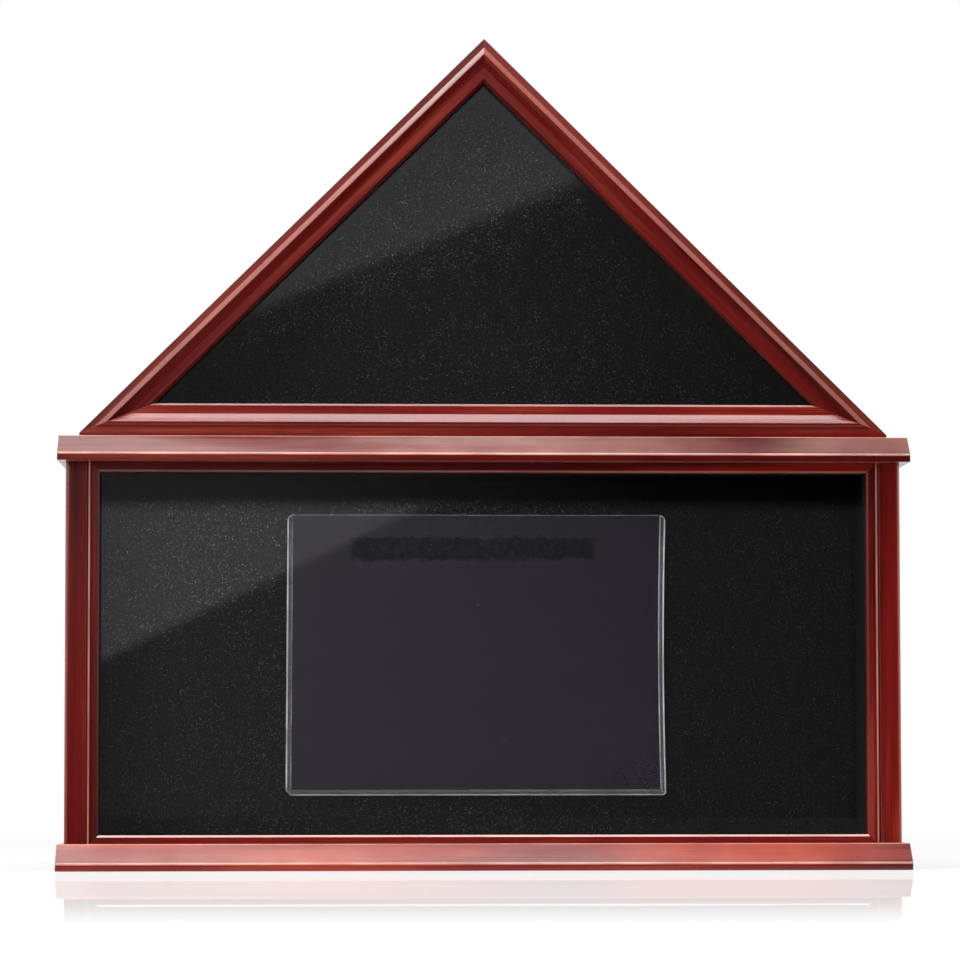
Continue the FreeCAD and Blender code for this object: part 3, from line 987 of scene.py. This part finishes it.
def dowelBeech():
    # short rays along the dowel
    material, tree, surface = newMaterial("dowelBeech")
    rays = noiseMask(tree, ownPlace(tree), beech["ray"], beech["rays"])
    shader = addShader(tree, "BsdfPrincipled", {
        "Base Color": mixColors(tree, rays, beech["dark"], beech["light"]),
        "Roughness": beech["roughness"],
    })
    tree.links.new(shader, surface)
    return material


paint(["certificate_back_panel", "flag_back_panel"], hardboard())
paint(["cornice_dowels"], dowelBeech())
paint([name for name in nodes if "button" in name], platedSteel("zincSteel"))
paint([name for name in nodes if "screws" in name], platedSteel("screwSteel"))
print("backs, buttons and fasteners painted")


# White surround, dimmer as a light than as it is seen

surround = {"seen": 1.0, "ambient": 0.16}


def surroundRays(tree):
    # rays that see the surround, and those of the camera among them
    path = addNode(tree, "LightPath").outputs
    seen = larger(tree, path["Is Camera Ray"], path["Is Glossy Ray"])
    return larger(tree, seen, path["Is Transmission Ray"]), path["Is Camera Ray"]


def whiteSurround():
    world = bpy.data.worlds.new("surround")
    scene.world = world
    world.use_nodes = True
    tree = world.node_tree
    tree.nodes.clear()
    seen = surroundRays(tree)[0]
    dim = addShader(tree, "Background", {"Color": white, "Strength": surround["ambient"]})
    full = addShader(tree, "Background", {"Color": white, "Strength": surround["seen"]})
    output = tree.nodes.new("ShaderNodeOutputWorld")
    tree.links.new(mixShaders(tree, seen, dim, full), output.inputs["Surface"])


# Pale floor with a faint mirror image of the case

floor = {
    "reach": 8.0,
    "cells": 8,
    "drop": 0.0005,                       # below the case
    "bounce": (0.7, 0.7, 0.7, 1),
    "matte": (0.2, 0.2, 0.2, 1),
    "glow": 0.76,
    "mirror": (-1.03, -0.6, 0.0, 0.34),   # step of the mirror image towards the case
    "mirrorEnd": (1.6, 1.1),              # and away from the middle
    "lip": (-0.21, -0.15, 1.0, 0.45),     # and in front of the plinth, where it shows its lip
    "far": (0.5, 1.8),                    # step from the lit floor out to plain white
    "near": (-0.3, -0.1),                 # step towards the case, where the panes mirror it lit
    "dim": (-1.0, -1.4, 0.01, 0.1275),    # glow of the rest as the panes mirror it
}


def layFloor():
    material, tree, surface = newMaterial("paleFloor")
    place = ownPlace(tree)
    spot = splitOf(tree, place)
    away = addNode(tree, "VectorMath", {0: place}, operation="LENGTH").outputs["Value"]
    ahead = minus(tree, spot["Y"], boxOf("plinth_board")[0][1])
    seen, camera = surroundRays(tree)
    mirror = spread(tree, spot["Y"], *floor["mirror"])
    mirror = times(tree, mirror, spread(tree, away, *floor["mirrorEnd"]))
    mirror = times(tree, mirror, spread(tree, ahead, *floor["lip"]))
    matte = addShader(tree, "BsdfDiffuse", {"Color": floor["matte"]})
    glow = addShader(tree, "Emission", {"Color": white, "Strength": floor["glow"]})
    lit = addShader(tree, "AddShader", {0: matte, 1: glow})
    full = addShader(tree, "Emission", {"Color": white, "Strength": 1.0})
    shown = mixShaders(tree, spread(tree, away, *floor["far"]), lit, full)
    gloss = addShader(tree, "BsdfGlossy", {"Color": white, "Roughness": 0.0})
    shown = mixShaders(tree, times(tree, mirror, camera), shown, gloss)
    dim = spread(tree, spot["Y"], *floor["dim"])
    dark = addShader(tree, "Emission", {"Color": white, "Strength": dim})
    clear = larger(tree, camera, spread(tree, spot["Y"], *floor["near"]))
    shown = mixShaders(tree, clear, dark, shown)
    bounce = addShader(tree, "BsdfDiffuse", {"Color": floor["bounce"]})
    tree.links.new(mixShaders(tree, seen, bounce, shown), surface)
    marks = np.linspace(-floor["reach"], floor["reach"], floor["cells"] + 1)
    x, y = gridOf(marks, marks)
    addPiece("floor", x, y, np.full_like(x, -floor["drop"]), material)


# Lamps

lamps = {   # name: (place, aim, width, height, radiance)
    "overhead": ((-0.2, -0.68, 2.0), (-0.2, -0.32, 0.3), 1.9, 0.7, 9.5),
    "rear": ((-0.25, 0.06, 2.0), (-0.25, 0.06, 0.3), 1.1, 0.36, 4.4),
    "mid": ((0.07, -0.21, 2.0), (0.07, -0.21, 0.3), 0.5, 0.18, 9.0),
    "strip": ((-0.42, -0.17, 2.0), (-0.42, -0.17, 0.3), 0.5, 0.14, 8.0),
    "left": ((-1.4, -1.05, 2.0), (-0.1, 0.0, 0.4), 1.0, 1.2, 2.1),
    "right": ((1.4, -1.05, 2.0), (0.1, 0.0, 0.4), 1.0, 1.2, 0.6),
    "leftLow": ((-1.6, 0.15, 0.5), (-0.2, 0.0, 0.3), 0.5, 0.9, 4.0),
    "rightLow": ((1.6, 0.15, 0.5), (0.2, 0.0, 0.3), 0.5, 0.9, 4.0),
    "key": ((-1.3, -2.2, 0.85), (0.0, 0.0, 0.3), 0.8, 0.5, 11.0),
}


def hangLamps():
    for name, (place, aim, width, height, radiance) in lamps.items():
        light = bpy.data.lights.new(name, "AREA")
        light.shape = "RECTANGLE"
        light.size = width
        light.size_y = height
        light.energy = radiance * math.pi * width * height
        lamp = bpy.data.objects.new(name, light)
        scene.collection.objects.link(lamp)
        lamp.location = place
        lamp.rotation_euler = (Vector(aim) - Vector(place)).to_track_quat("-Z", "Y").to_euler()
        lamp.visible_camera = False


# Dim card behind the camera, which the panes mirror

card = {
    "behind": -3.1,
    "wide": 2.2,
    "foot": -0.2,
    "top": 1.45,
    "veil": (-0.6, 0.7, 0.17, 0.075),       # steps from left to right
    "veilEnd": (-0.66, -0.5, 0.35, 1.0),
    "between": (-0.6, 0.5, 0.182, 0.002),
    "veilHigh": 0.85,                       # share of the veil in the flag case's part
    "low": (0.5256, 0.481, 0.33, 0.013),    # brighter parts: height, slope, strength, soft edge
    "high": (0.977, 0.405, 0.31, 0.02),
    "break": (0.515, 0.548),                # steps upwards, past the base's part
    "upper": (0.64, 0.68),                  # and into the flag case's part
    "fromFloor": (0.003, 0.002),            # step of the height where a ray began
}


def brighterPart(tree, spot, middle, slope, strength, soft):
    # bright above the line z = middle + slope x
    line = plus(tree, times(tree, spot["X"], slope), middle)
    return spread(tree, minus(tree, spot["Z"], line), -soft, soft, 0.0, strength)


def hangCard():
    # glow(x, z) = veil(x) + a brighter part above a sloping line, once for each pane
    material, tree, surface = newMaterial("dimCard")
    spot = splitOf(tree, ownPlace(tree))
    veil = spread(tree, spot["X"], *card["veil"])
    veil = times(tree, veil, spread(tree, spot["X"], *card["veilEnd"]))
    between = spread(tree, spot["X"], *card["between"])
    low = plus(tree, veil, brighterPart(tree, spot, *card["low"]))
    high = plus(tree, times(tree, veil, card["veilHigh"]), brighterPart(tree, spot, *card["high"]))
    glow = blend(tree, spread(tree, spot["Z"], *card["break"]), low, between)
    glow = blend(tree, spread(tree, spot["Z"], *card["upper"]), glow, high)
    # rays that left the floor see the white surround in its place
    hit = addNode(tree, "NewGeometry").outputs
    length = addNode(tree, "LightPath").outputs["Ray Length"]
    sockets = {0: hit["Incoming"], "Scale": length}
    back = addNode(tree, "VectorMath", sockets, operation="SCALE").outputs[0]
    began = splitOf(tree, vectorMath(tree, "ADD", hit["Position"], back)[0])
    glow = larger(tree, glow, spread(tree, began["Z"], *card["fromFloor"]))
    shine = addShader(tree, "Emission", {"Color": white, "Strength": glow})
    tree.links.new(shine, surface)
    x, z = gridOf([-card["wide"], card["wide"]], [card["foot"], card["top"]])
    piece = addPiece("dimCard", x, np.full_like(x, card["behind"]), z, material)
    piece.visible_camera = False
    piece.visible_diffuse = False
    piece.visible_shadow = False


whiteSurround()
layFloor()
hangLamps()
hangCard()
print("studio set")


# Camera at the photograph's angle, in metres, radians and millimetres of lens

view = {
    "place": (-0.0951, -2.558, 0.0717),
    "pitch": 0.04891,
    "yaw": -0.03627,
    "roll": 0.00095,
    "lens": 123.7,
    "sensor": 36.0,
    "lift": 0.14,
}


def setCamera():
    camera = bpy.data.cameras.new("camera")
    camera.lens = view["lens"]
    camera.sensor_width = view["sensor"]
    camera.shift_y = view["lift"]
    holder = bpy.data.objects.new("camera", camera)
    scene.collection.objects.link(holder)
    yaw = view["yaw"]
    pitch = view["pitch"]
    roll = view["roll"]
    rise = np.array([0.0, 0.0, 1.0])
    side = np.array([math.cos(yaw), math.sin(yaw), 0.0])
    level = np.array([-math.sin(yaw), math.cos(yaw), 0.0])
    ahead = math.cos(pitch) * level + math.sin(pitch) * rise
    above = math.cos(pitch) * rise - math.sin(pitch) * level
    right = math.cos(roll) * side - math.sin(roll) * above
    up = math.sin(roll) * side + math.cos(roll) * above
    matrix = np.eye(4)
    matrix[:3] = np.column_stack([right, up, -ahead, view["place"]])
    holder.matrix_world = Matrix(matrix.tolist())
    scene.camera = holder


setCamera()
